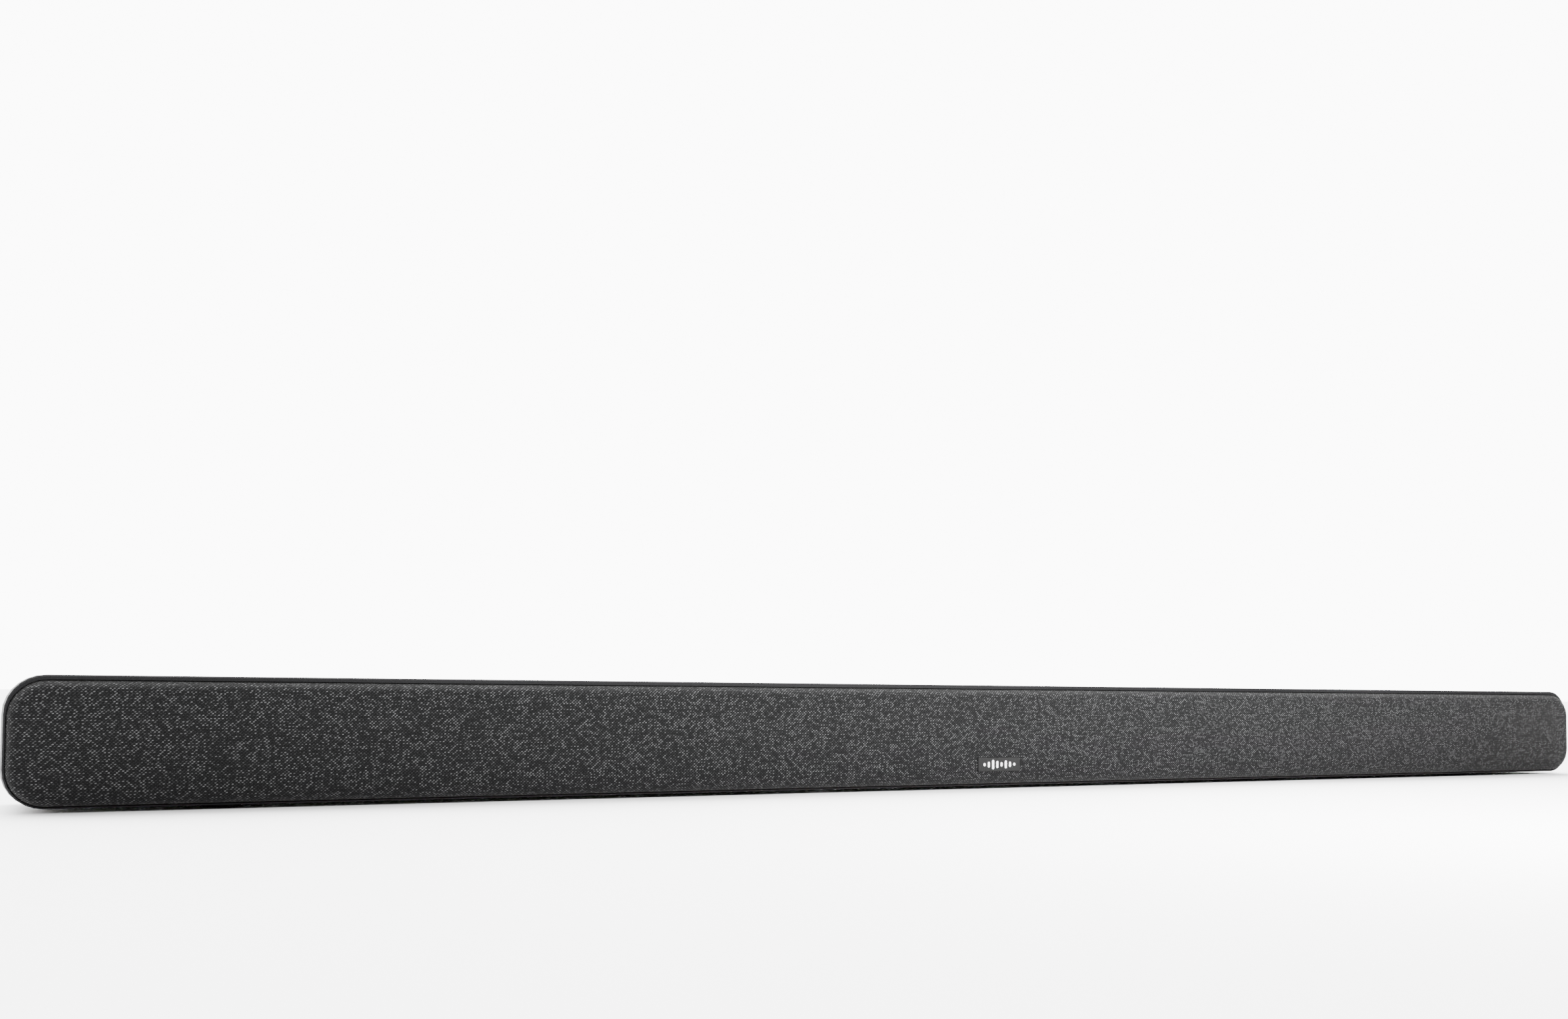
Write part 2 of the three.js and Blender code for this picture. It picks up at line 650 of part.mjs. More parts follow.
// The two-pin mains inlet: a flange in the bay, a body through its wall, a figure-of-eight recess.
function mainsInlet() {
  const flange = block([-14, 14], [0.3, 1.9], [-10.5, 10.5]);
  const body = block([-10, 10], [-13, 0.5], [-7, 7]);
  const lobe = 4.2;
  const spread = 4.3;
  const recess = [
    rodY(lobe, [-10.5, 3], -spread, 0),
    rodY(lobe, [-10.5, 3], spread, 0),
    block([-spread, spread], [-10.5, 3], [-3, 3]),
  ];
  const pins = [-1, 1].map((side) => rodY(1.15, [-11, 0.3], side * spread, 0, 10));
  return join(cut(join(flange, body), ...recess), ...pins);
}

// ---- Fixings and leads ----
// A steel plate with a round hole for a screw's head and a slot above it for the shank.
function keyholePlate() {
  const plate = block([-10, 10], [-1.2, 0], [-10, 13]);
  const head = rodY(5, [-3, 2], 0, -3, 20);
  const slot = block([-2.4, 2.4], [-3, 2], [-3, 8]);
  const slotEnd = rodY(2.4, [-3, 2], 0, 8, 12);
  return cut(plate, head, slot, slotEnd);
}

// A pan-head screw along Y: the head at y = 0 to 2.4, the shank towards -Y.
function cabinetScrew() {
  return spun([[0, -16], [0.9, -15], [1.4, -13.5], [1.4, 0], [3.2, 0], [3.2, 1.4], [2.4, 2.4], [0, 2.4]], 12);
}

// A speaker lead from the main board, through the partition, over the drivers to the outer woofer.
function speakerLead(side) {
  const start = side > 0 ? 61 : -138;
  const route = [
    [start, -9, boardTop + 5.6], [start, -9, 24], [start + side * 6, -10, 36], [start + side * 26, -12, 40],
    [side * 170, -12, 40], [side * 196, -12, 40], [side * 212, -11, 41], [side * 236, -8, 50],
    [side * 262, -3, 53], [side * 307, -3, 53.6], [side * 350, -3, 53.6], [side * 400, -3, 53.4],
    [side * 424, -1.5, 52.6], [side * 430, -1, 50.9],
  ];
  const curve = new THREE.CatmullRomCurve3(route.map((p) => new THREE.Vector3(...p)));
  const section = new THREE.Shape();
  const sides = 6;
  const radius = 1.2;
  for (let i = 0; i < sides; i++) {
    const angle = (i / sides) * 2 * Math.PI;
    const point = [radius * Math.cos(angle), radius * Math.sin(angle)];
    if (i === 0) section.moveTo(...point);
    else section.lineTo(...point);
  }
  return solid(new THREE.ExtrudeGeometry(section, { steps: 36, extrudePath: curve, bevelEnabled: false }));
}

// ---- The assembly ----
const soundbar = new THREE.Group();

function place(name, shape, material, [x, y, z] = [0, 0, 0]) {
  const mesh = new THREE.Mesh(geometryOf(shape), material);
  mesh.name = name;
  mesh.position.set(x, y, z);
  soundbar.add(mesh);
}

place("rear_cabinet", rearCabinet(), cabinetPlastic);
place("top_cover", topCover(), cabinetPlastic);
place("grille_cloth", grilleCloth(), charcoalCloth);
place("grille_frame", grilleFrame(), innerPlastic);
place("badge_plate", badgePlate(), badgeMetal);
place("front_baffle", frontBaffle(), innerPlastic);

const mountY = baffleFrontY - 0.2; // a driver's mounting face, just off the baffle
const wooferNames = ["left_outer", "left_inner", "right_inner", "right_outer"];
wooferPlaces.forEach((x, i) => {
  const at = [x, mountY, cavityMiddle];
  const name = wooferNames[i] + "_woofer";
  place(name + "_basket", wooferBasket(), basketSteel, at);
  place(name + "_magnet", wooferMagnet(), magnetSteel, at);
  place(name + "_surround", wooferSurround(), rubber, at);
  place(name + "_cone", wooferCone(), conePaper, at);
});
tweeterPlaces.forEach((x, i) => {
  const side = i === 0 ? "left" : "right";
  const at = [x, mountY, cavityMiddle];
  place(side + "_tweeter_body", tweeterBody(), basketSteel, at);
  place(side + "_tweeter_dome", tweeterDome(), domeSilk, at);
});

place("main_board", mainBoardAssembly(), boardGreen);
place("power_board", powerBoardAssembly(), boardGreen);
place("heat_sink", heatSink(), heatSinkAlloy);
place("button_board", buttonBoard(), boardGreen);
place("indicator_board", indicatorBoard(), boardGreen);
place("wireless_module", wirelessModule(), boardGreen);

const socketZ = boardTop + 0.2;
for (const [name, form] of Object.entries(socketForms))
  place(name, boxSocket(form), form.steel ? socketSteel : socketPlastic, [form.x, socketMouthY, socketZ]);
place("optical_shutter", opticalShutter(), socketPlastic, [socketForms.optical_socket.x, socketMouthY, socketZ]);
place("aux_socket", auxSocket(), socketPlastic, [auxPlace.x, socketMouthY, socketZ]);
place("jack_panel", jackPanel(), innerPlastic);
place("mains_inlet", mainsInlet(), socketPlastic, [mainsCentre.x, mainsBay.floorY, mainsCentre.z]);

const buttonNames = ["power", "source", "pairing", "volume_down", "volume_up"];
buttonPlaces.forEach((x, i) => place(buttonNames[i] + "_button", button(x), keyPlastic));

for (const [sideName, side] of [["left", -1], ["right", 1]]) {
  place("front_" + sideName + "_foot", foot(), rubber, [side * footPlaces.x, footPlaces.front, 0]);
  place("rear_" + sideName + "_foot", foot(), rubber, [side * footPlaces.x, footPlaces.rear, 0]);
  place(sideName + "_keyhole_plate", keyholePlate(), screwSteel, [side * keyholeX, rearY, keyholeZ]);
  place(sideName + "_speaker_lead", speakerLead(side), leadVinyl);
}
for (const { name, x, z } of screwPlaces)
  place(name + "_cabinet_screw", cabinetScrew(), screwSteel, [x, screwSeatY + 0.1, z]);

export default soundbar;
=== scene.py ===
import json
import math
import bmesh
import bpy
from mathutils import Euler, Matrix, Vector

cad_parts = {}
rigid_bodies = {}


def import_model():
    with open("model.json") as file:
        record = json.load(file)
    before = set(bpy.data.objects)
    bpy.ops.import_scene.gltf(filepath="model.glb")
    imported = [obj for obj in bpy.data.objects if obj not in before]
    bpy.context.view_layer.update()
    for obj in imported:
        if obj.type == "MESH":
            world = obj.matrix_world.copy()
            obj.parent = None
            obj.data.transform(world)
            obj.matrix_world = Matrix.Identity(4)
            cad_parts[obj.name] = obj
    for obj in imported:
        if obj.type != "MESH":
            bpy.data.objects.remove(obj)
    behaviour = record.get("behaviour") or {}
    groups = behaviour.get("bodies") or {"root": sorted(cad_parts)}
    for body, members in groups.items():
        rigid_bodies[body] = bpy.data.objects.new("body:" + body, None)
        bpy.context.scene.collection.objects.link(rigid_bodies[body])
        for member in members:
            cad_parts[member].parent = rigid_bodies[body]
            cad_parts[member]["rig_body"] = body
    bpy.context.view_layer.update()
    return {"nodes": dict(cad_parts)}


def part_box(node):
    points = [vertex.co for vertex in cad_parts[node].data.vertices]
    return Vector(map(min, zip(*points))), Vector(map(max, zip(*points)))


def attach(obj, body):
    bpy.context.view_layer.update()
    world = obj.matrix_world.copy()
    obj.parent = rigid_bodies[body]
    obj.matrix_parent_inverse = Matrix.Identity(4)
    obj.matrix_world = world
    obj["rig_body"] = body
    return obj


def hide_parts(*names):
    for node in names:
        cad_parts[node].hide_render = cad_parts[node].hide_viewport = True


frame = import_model()
nodes = frame["nodes"]
print("stage: frame loaded,", len(nodes), "nodes")

mm = 0.001
housing = "housing"


# camera, light and floor

def addCamera():
    view = {
        "place": (-0.5924, -0.8206, 0.0549),
        "turn": -29.882,  # degrees from +Y towards -X
        "rise": 2.632,
        "roll": 0.474,
        "lens": 38.38,
        "shift": 0.0677,
    }
    data = bpy.data.cameras.new("camera")
    data.sensor_width = 36
    data.lens = view["lens"]
    data.shift_y = view["shift"]
    data.clip_start = 0.01
    camera = bpy.data.objects.new("camera", data)
    bpy.context.scene.collection.objects.link(camera)
    upright = Euler((math.pi / 2 + math.radians(view["rise"]), 0, math.radians(view["turn"]))).to_matrix()
    rolled = upright @ Matrix.Rotation(math.radians(view["roll"]), 3, "Z")
    camera.matrix_world = Matrix.Translation(view["place"]) @ rolled.to_4x4()
    bpy.context.scene.camera = camera


# node trees

class Wire:
    # one output socket; arithmetic with wires or numbers adds Math nodes
    def __init__(self, tree, socket):
        self.tree = tree
        self.socket = socket

    def maths(self, operation, left, right=0.0):
        return self.tree.add("ShaderNodeMath", {"operation": operation}, {0: left, 1: right})

    def __add__(self, other):
        return self.maths("ADD", self, other)

    def __radd__(self, other):
        return self.maths("ADD", other, self)

    def __sub__(self, other):
        return self.maths("SUBTRACT", self, other)

    def __rsub__(self, other):
        return self.maths("SUBTRACT", other, self)

    def __mul__(self, other):
        return self.maths("MULTIPLY", self, other)

    def __rmul__(self, other):
        return self.maths("MULTIPLY", other, self)

    def __truediv__(self, other):
        return self.maths("DIVIDE", self, other)

    def __rtruediv__(self, other):
        return self.maths("DIVIDE", other, self)

    def __pow__(self, other):
        return self.maths("POWER", self, other)

    def pick(self, output):
        return Wire(self.tree, self.socket.node.outputs[output])


class Tree:
    def __init__(self, nodeTree):
        self.nodeTree = nodeTree

    def add(self, kind, settings=None, sockets=None, output=0):
        node = self.nodeTree.nodes.new(kind)
        for name, value in (settings or {}).items():
            if name == "stops":
                ramp = node.color_ramp.elements
                while len(ramp) < len(value):
                    ramp.new(0.5)
                for stop, (at, level) in zip(ramp, value):
                    stop.position = at
                    stop.color = (*level, 1) if isinstance(level, tuple) else (level, level, level, 1)
            else:
                setattr(node, name, value)
        for key, value in (sockets or {}).items():
            if isinstance(value, Wire):
                self.nodeTree.links.new(value.socket, node.inputs[key])
            else:
                node.inputs[key].default_value = value
        return Wire(self, node.outputs[output]) if len(node.outputs) else None

    def one(self, operation, value, other=0.0):
        return self.add("ShaderNodeMath", {"operation": operation}, {0: value, 1: other})

    def mixColour(self, share, first, second):
        sockets = {0: share, 6: (*first, 1), 7: (*second, 1)}
        return self.add("ShaderNodeMix", {"data_type": "RGBA"}, sockets, output=2)

    def smooth(self, value, low, high, toLow=0.0, toHigh=1.0):
        settings = {"interpolation_type": "SMOOTHSTEP", "clamp": True}
        return self.add("ShaderNodeMapRange", settings, {0: value, 1: low, 2: high, 3: toLow, 4: toHigh})

    def place(self, kind="Object"):
        return self.add("ShaderNodeTexCoord", output=kind)

    def noise(self, vector, scale, detail=2.0, roughness=0.5):
        sockets = {"Vector": vector, "Scale": scale, "Detail": detail, "Roughness": roughness}
        return self.add("ShaderNodeTexNoise", {}, sockets)

    def stretched(self, vector, scale):
        return self.add("ShaderNodeMapping", {}, {"Vector": vector, "Scale": scale})

    def bump(self, height, distance, strength=1.0):
        return self.add("ShaderNodeBump", {}, {"Height": height, "Distance": distance, "Strength": strength})


def makeFinish(name, fixed, build):
    # a Principled material: fixed values on the shader's own sockets, then what varies
    material = bpy.data.materials.new(name)
    material.use_nodes = True
    shader = material.node_tree.nodes["Principled BSDF"]
    for socket, value in fixed.items():
        shader.inputs[socket].default_value = value
    tree = Tree(material.node_tree)
    for socket, wire in build(tree).items():
        material.node_tree.links.new(wire.socket, shader.inputs[socket])
    return material


# finishes

cloth = {
    "dotPitch": 1.7,  # between light dots along a thread
    "rowPitch": 0.74,
    "dotWide": 1.08,
    "dotHigh": 0.66,
    "wander": 0.03,  # how far the threads stray
    "streak": 14.0,  # length of a lighter stretch of thread
    "ground": (0.0016, 0.0016, 0.0017),
    "light": (0.06, 0.06, 0.0612),
    "relief": 0.00016,
    "fuzz": 0.045,  # sheen of the short fibres
}


def clothFinish():
    def build(tree):
        flat = tree.place("UV")
        drift = tree.noise(flat, 0.09, 1.0).pick("Color")
        centred = tree.add("ShaderNodeVectorMath", {"operation": "SUBTRACT"}, {0: drift, 1: (0.5, 0.5, 0.5)})
        moved = tree.add("ShaderNodeVectorMath", {"operation": "SCALE"},
                         {0: centred, "Scale": cloth["wander"] * 4})
        placed = tree.add("ShaderNodeVectorMath", {"operation": "ADD"}, {0: flat, 1: moved})
        split = tree.add("ShaderNodeSeparateXYZ", {}, {0: placed})
        along = split.pick("X")
        across = split.pick("Y") / cloth["rowPitch"]
        row = tree.one("FLOOR", across)
        rowNoise = tree.add("ShaderNodeTexWhiteNoise", {"noise_dimensions": "1D"}, {"W": row})
        shifted = along / cloth["dotPitch"] + row * 0.5 + rowNoise * 0.16
        column = tree.one("FLOOR", shifted)
        high = tree.one("FRACT", across) - 0.5
        wide = tree.one("FRACT", shifted) - 0.5 - high * 0.16
        cell = tree.add("ShaderNodeCombineXYZ", {}, {0: column, 1: row})
        chance = tree.add("ShaderNodeTexWhiteNoise", {"noise_dimensions": "2D"}, {"Vector": cell})
        spread = tree.one("POWER", wide * (2 * cloth["dotPitch"] / cloth["dotWide"]), 2.0)
        rise = tree.one("POWER", high * (2 * cloth["rowPitch"] / cloth["dotHigh"]), 2.0)
        dot = tree.smooth(spread + rise, 1.25, 0.1)
        # the darker thread that crosses between the dots
        gapWide = 0.5 - tree.one("ABSOLUTE", wide)
        crossing = tree.smooth(gapWide * gapWide * 14 + high * high * 5, 1.3, 0.1)
        streaked = tree.add("ShaderNodeCombineXYZ", {}, {0: along / cloth["streak"], 1: row * 3.7})
        streak = tree.noise(streaked, 1.0, 2.0)
        patch = tree.noise(flat, 0.045, 2.0)
        lively = (chance ** 2.9 * 1.75 + 0.08) * tree.smooth(streak, 0.3, 0.7, 0.7, 1.1)
        level = dot * lively * tree.smooth(patch, 0.3, 0.7, 0.92, 1.05)
        shade = level + crossing * (0.012 + streak * 0.03)
        height = dot * (0.7 + chance * 0.3) + crossing * 0.4
        fibre = tree.noise(tree.stretched(flat, (9.0, 26.0, 1.0)), 1.0, 2.0)
        return {
            "Base Color": tree.mixColour(shade, cloth["ground"], cloth["light"]),
            "Roughness": 0.95 - dot * 0.2,
            "Normal": tree.bump(height + fibre * 0.25, cloth["relief"]),
        }

    fixed = {"Specular IOR Level": 0.12, "Sheen Weight": cloth["fuzz"], "Sheen Roughness": 0.45}
    return makeFinish("charcoalWeave", fixed, build)


def mouldedFinish(name, colour, roughness, grain=2600.0, relief=0.00003, soft=0.5):
    # moulded plastic with a spark-eroded grain and faint flow marks
    def build(tree):
        place = tree.place()
        fine = tree.noise(place, grain, 2.0)
        pores = tree.add("ShaderNodeTexVoronoi", {}, {"Vector": place, "Scale": grain * 0.45})
        cloud = tree.noise(tree.stretched(place, (6, 30, 30)), 1.0, 3.0)
        lighter = tuple(min(1.0, c * 1.35 + 0.002) for c in colour)
        shade = tree.smooth(cloud * 0.7 + fine * 0.3, 0.3, 0.7)
        return {
            "Base Color": tree.mixColour(shade, colour, lighter),
            "Roughness": roughness - 0.06 + cloud * 0.08 + fine * 0.06,
            "Normal": tree.bump(fine * 0.6 + pores * 0.4, relief),
        }

    return makeFinish(name, {"Specular IOR Level": soft}, build)


def rubberFinish(name, colour=(0.012, 0.012, 0.012)):
    def build(tree):
        place = tree.place()
        fine = tree.noise(place, 1500.0, 3.0)
        dust = tree.noise(place, 90.0, 4.0, 0.6)
        powder = tree.smooth(dust, 0.45, 0.8, 0.0, 0.5)
        return {
            "Base Color": tree.mixColour(powder, colour, (0.05, 0.05, 0.048)),
            "Roughness": 0.72 + dust * 0.2,
            "Normal": tree.bump(fine, 0.00004),
        }

    return makeFinish(name, {"Specular IOR Level": 0.35}, build)


def metalFinish(name, colour, roughness, streaks=(400, 40, 400), metallic=1.0):
    # drawn, plated or coated metal: streaks along one way and a slow change of tone
    def build(tree):
        place = tree.place()
        drawn = tree.noise(tree.stretched(place, streaks), 1.0, 3.0)
        tone = tree.noise(place, 35.0, 2.0)
        darker = tuple(c * 0.72 for c in colour)
        return {
            "Base Color": tree.mixColour(tree.smooth(tone, 0.3, 0.7), darker, colour),
            "Roughness": roughness - 0.08 + drawn * 0.16,
            "Normal": tree.bump(drawn, 0.00001),
        }

    return makeFinish(name, {"Metallic": metallic}, build)


def boardFinish():
    # solder mask over copper traces
    def build(tree):
        place = tree.place()
        bent = tree.add("ShaderNodeTexVoronoi", {"distance": "CHEBYCHEV", "feature": "F1"},
                        {"Vector": tree.stretched(place, (1, 1, 0.1)), "Scale": 260.0})
        rings = tree.one("FRACT", bent * 5.0)
        trace = tree.smooth(rings, 0.45, 0.5) * tree.smooth(rings, 0.85, 0.8)
        grain = tree.noise(place, 900.0, 2.0)
        return {
            "Base Color": tree.mixColour(trace, (0.008, 0.05, 0.022), (0.02, 0.115, 0.05)),
            "Roughness": 0.3 + grain * 0.15,
            "Normal": tree.bump(trace, 0.00003),
        }

    return makeFinish("solderMask", {"Coat Weight": 0.3}, build)


def paperFinish():
    # pressed pulp with fibres
    def build(tree):
        place = tree.place()
        fibres = tree.noise(tree.stretched(place, (300, 900, 1400)), 1.0, 4.0)
        blotch = tree.noise(place, 120.0, 2.0)
        return {
            "Base Color": tree.mixColour(fibres, (0.012, 0.012, 0.013), (0.045, 0.044, 0.043)),
            "Roughness": 0.8 + blotch * 0.15,
            "Normal": tree.bump(fibres, 0.0001),
        }

    return makeFinish("conePulp", {}, build)


def silkFinish():
    # coated silk: a fine plain weave under a thin coat
    def build(tree):
        split = tree.add("ShaderNodeSeparateXYZ", {}, {0: tree.place()})
        warp = tree.one("SINE", split.pick("X") * (2 * math.pi / 0.0005))
        weft = tree.one("SINE", split.pick("Z") * (2 * math.pi / 0.0005))
        weave = warp * weft * 0.5 + 0.5
        return {
            "Base Color": tree.mixColour(weave, (0.008, 0.008, 0.009), (0.03, 0.03, 0.032)),
            "Roughness": 0.4 + weave * 0.15,
            "Normal": tree.bump(weave, 0.00003),
        }

    return makeFinish("coatedSilk", {}, build)


def makeFinishes():
    return {
        "cloth": clothFinish(),
        "cabinet": mouldedFinish("cabinetPlastic", (0.005, 0.005, 0.0054), 0.58, soft=0.08),
        "panel": mouldedFinish("topPlastic", (0.006, 0.006, 0.0064), 0.5, 1800.0, 0.00004, 0.1),
        "inner": mouldedFinish("innerPlastic", (0.008, 0.008, 0.0085), 0.6, 1400.0, soft=0.12),
        "socket": mouldedFinish("socketPlastic", (0.006, 0.006, 0.0065), 0.5, 3200.0, soft=0.12),
        "key": mouldedFinish("keyPlastic", (0.012, 0.012, 0.013), 0.42, 3600.0, 0.00002, 0.2),
        "rubber": rubberFinish("footRubber"),
        "surround": rubberFinish("surroundRubber", (0.009, 0.009, 0.009)),
        "badge": mouldedFinish("badgeLacquer", (0.006, 0.006, 0.006), 0.5, 1200.0, 0.00001, 0.12),
        "mark": mouldedFinish("markWhite", (0.78, 0.78, 0.77), 0.35, 3000.0, 0.00001),
        "magnet": metalFinish("platedMagnet", (0.5, 0.5, 0.52), 0.35),
        "basket": metalFinish("coatedBasket", (0.02, 0.02, 0.021), 0.45, (60, 60, 60), 0.4),
        "alloy": metalFinish("anodisedAlloy", (0.6, 0.6, 0.61), 0.4, (500, 20, 500)),
        "plated": metalFinish("platedShell", (0.62, 0.61, 0.6), 0.28, (60, 900, 60)),
        "gold": metalFinish("contactGold", (0.85, 0.6, 0.25), 0.25, (60, 900, 60)),
        "screw": metalFinish("blackScrew", (0.035, 0.035, 0.037), 0.38, (900, 90, 900), 0.85),
        "vinyl": mouldedFinish("leadVinyl", (0.25, 0.012, 0.012), 0.45, 1200.0),
        "board": boardFinish(),
        "chip": mouldedFinish("chipEpoxy", (0.01, 0.01, 0.011), 0.5, 1600.0),
        "label": mouldedFinish("labelPaper", (0.45, 0.45, 0.44), 0.5, 2200.0, 0.00001),
        "paper": paperFinish(),
        "silk": silkFinish(),
    }


# meshes

def link(name, mesh, finish, body=housing):
    piece = bpy.data.objects.new(name, mesh)
    bpy.context.scene.collection.objects.link(piece)
    mesh.materials.clear()
    mesh.materials.append(finish)
    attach(piece, body)
    return piece


def softenEdges(mesh, angle=35):
    for polygon in mesh.polygons:
        polygon.use_smooth = True
    mesh.set_sharp_from_angle(angle=math.radians(angle))


def evaluated(piece):
    # the piece's mesh with its modifiers applied
    graph = bpy.context.evaluated_depsgraph_get()
    return bpy.data.meshes.new_from_object(piece.evaluated_get(graph))


def outline(size, steps):
    # corner arcs of a rounded rectangle, anticlockwise seen from the front
    points = []
    for quarter, (sideX, sideZ) in enumerate(((1, 1), (-1, 1), (-1, -1), (1, -1))):
        for step in range(steps + 1):
            angle = (quarter + step / steps) * math.pi / 2
            x = size["x"] + sideX * (size["w"] / 2 - size["r"]) + size["r"] * math.cos(angle)
            z = size["z"] + sideZ * (size["h"] / 2 - size["r"]) + size["r"] * math.sin(angle)
            points.append((x, z))
    return points


def refine(nodeName, pieceName, finish, rounding, body=housing, angle=35):
    # a merged copy of a CAD node, with its hard edges rounded where a width is given
    mesh = nodes[nodeName].data.copy()
    made = bmesh.new()
    made.from_mesh(mesh)
    bmesh.ops.remove_doubles(made, verts=made.verts, dist=0.002 * mm)
    if rounding:
        bmesh.ops.dissolve_limit(made, angle_limit=math.radians(0.6), verts=made.verts, edges=made.edges)
    made.to_mesh(mesh)
    made.free()
    if "custom_normal" in mesh.attributes:
        mesh.attributes.remove(mesh.attributes["custom_normal"])  # the import's own shading
    scratch = bpy.data.objects.new("scratch", mesh)
    bpy.context.scene.collection.objects.link(scratch)
    if rounding:
        bevel = scratch.modifiers.new("rounding", "BEVEL")
        bevel.width = rounding * mm
        bevel.segments = 2
        bevel.limit_method = "ANGLE"
        bevel.angle_limit = math.radians(angle)
        bevel.miter_outer = "MITER_ARC"
    final = evaluated(scratch)
    bpy.data.objects.remove(scratch)
    softenEdges(final, 40)
    piece = link(pieceName, final, finish, body)
    weighted = piece.modifiers.new("evenNormals", "WEIGHTED_NORMAL")
    weighted.keep_sharp = True
    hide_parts(nodeName)
    return piece


# the grille cloth

grille = {
    "edgeRound": 6.0,
    "cornerRound": 16.0,
    "cornerSteps": 20,
    "edgeSteps": 10,
    "thickness": 0.5,
    "hem": 0.8,
}


def makeCloth(finish):
    low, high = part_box("grille_cloth")
    width, height = high.x - low.x, high.z - low.z
    edge, thickness = grille["edgeRound"] * mm, grille["thickness"] * mm

    def ring(inset):
        size = {
            "w": width - 2 * inset, "h": height - 2 * inset,
            "r": grille["cornerRound"] * mm - inset, "x": 0.0, "z": (low.z + high.z) / 2,
        }
        return outline(size, grille["cornerSteps"])

    # each ring: how far in from the outline, its depth, and its distance over the cloth from the flat
    rings = []
    for step in range(grille["edgeSteps"] + 1):
        angle = step / grille["edgeSteps"] * math.pi / 2
        rings.append((edge * (1 - math.sin(angle)), low.y + edge * (1 - math.cos(angle)), edge * angle))
    straight = high.y - low.y - edge
    hem = grille["hem"] * mm
    rings.append((0.0, high.y - hem, edge * math.pi / 2 + straight - hem))
    rings.append((0.0, high.y, edge * math.pi / 2 + straight))

    made = bmesh.new()
    uv = made.loops.layers.uv.new("clothFlat")
    flat = ring(edge)
    outer = ring(0.0)
    rows, places = [], {}
    for inset, depth, reach in rings:
        row = []
        for (x, z), (flatX, flatZ), (outX, outZ) in zip(ring(inset), flat, outer):
            away = Vector((outX - flatX, outZ - flatZ)).normalized()
            vertex = made.verts.new((x, depth, z))
            places[vertex] = ((flatX + away.x * reach) / mm, (flatZ + away.y * reach) / mm)
            row.append(vertex)
        rows.append(row)
    faces = [made.faces.new(rows[0])]
    for near, far in zip(rows, rows[1:]):
        for i, vertex in enumerate(near):
            j = (i + 1) % len(near)
            faces.append(made.faces.new((vertex, far[i], far[j], near[j])))
    for face in faces:
        for loop in face.loops:
            loop[uv].uv = places[loop.vert]
    bmesh.ops.recalc_face_normals(made, faces=made.faces)
    mesh = bpy.data.meshes.new("grilleCloth")
    made.to_mesh(mesh)
    made.free()
    softenEdges(mesh, 50)
    piece = link("grille_cloth_weave", mesh, finish)
    solidify = piece.modifiers.new("thickness", "SOLIDIFY")
    solidify.thickness = thickness
    solidify.offset = -1
    solidify.use_even_offset = True
    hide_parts("grille_cloth")
    return piece


# the badge: a plate with a plain row of level bars

badge = {
    "bars": (0.34, 0.62, 1.0, 0.76, 0.46, 0.84, 0.58, 0.3),
    "barHigh": 5.4,
    "barWide": 1.5,
    "barPitch": 3.05,
    "recess": 0.2,  # how far the plate's face lies behind the bars' faces
}


def addPrism(made, size, front, back, steps):
    # a rounded bar along Y into a bmesh
    rows = [[made.verts.new((x, y, z)) for x, z in outline(size, steps)] for y in (front, back)]
    made.faces.new(rows[0])
    made.faces.new(list(reversed(rows[1])))
    for i in range(len(rows[0])):
        j = (i + 1) % len(rows[0])
        made.faces.new((rows[0][i], rows[1][i], rows[1][j], rows[0][j]))


def meshOf(name, made):
    bmesh.ops.remove_doubles(made, verts=made.verts, dist=0.0005 * mm)
    bmesh.ops.recalc_face_normals(made, faces=made.faces)
    mesh = bpy.data.meshes.new(name)
    made.to_mesh(mesh)
    made.free()
    return mesh


def makeBadge(plateFinish, markFinish):
    low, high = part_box("badge_plate")
    plate = refine("badge_plate", "badge", plateFinish, 0.12)
    for vertex in plate.data.vertices:
        if vertex.co.y < low.y + badge["recess"] * mm:
            vertex.co.y += badge["recess"] * mm
    made = bmesh.new()
    middle = (low.z + high.z) / 2
    count = len(badge["bars"])
    for i, share in enumerate(badge["bars"]):
        size = {
            "w": badge["barWide"] * mm, "h": badge["barHigh"] * share * mm, "r": 0.7 * mm,
            "x": (i - (count - 1) / 2) * badge["barPitch"] * mm, "z": middle,
        }
        addPrism(made, size, low.y, low.y + 2 * badge["recess"] * mm, 6)
    mesh = meshOf("badgeBars", made)
    softenEdges(mesh)
    bars = link("badge_bars", mesh, markFinish)


# geometry trees for what repeats

def growTree(name, inputs, build):
    # a Geometry Nodes tree with named inputs that ends in realized, painted geometry
    group = bpy.data.node_groups.new(name, "GeometryNodeTree")
    group.interface.new_socket("Geometry", in_out="INPUT", socket_type="NodeSocketGeometry")
    for label, (kind, value) in inputs.items():
        socket = group.interface.new_socket(label, in_out="INPUT", socket_type="NodeSocket" + kind)
        if value is not None:
            socket.default_value = value
    group.interface.new_socket("Geometry", in_out="OUTPUT", socket_type="NodeSocketGeometry")
    tree = Tree(group)
    source = tree.add("NodeGroupInput")
    made = build(tree, source.pick)
    real = tree.add("GeometryNodeRealizeInstances", {}, {0: made})
    painted = tree.add("GeometryNodeSetMaterial", {}, {0: real, "Material": source.pick("Finish")})
    tree.add("NodeGroupOutput", {}, {0: painted})
    return group


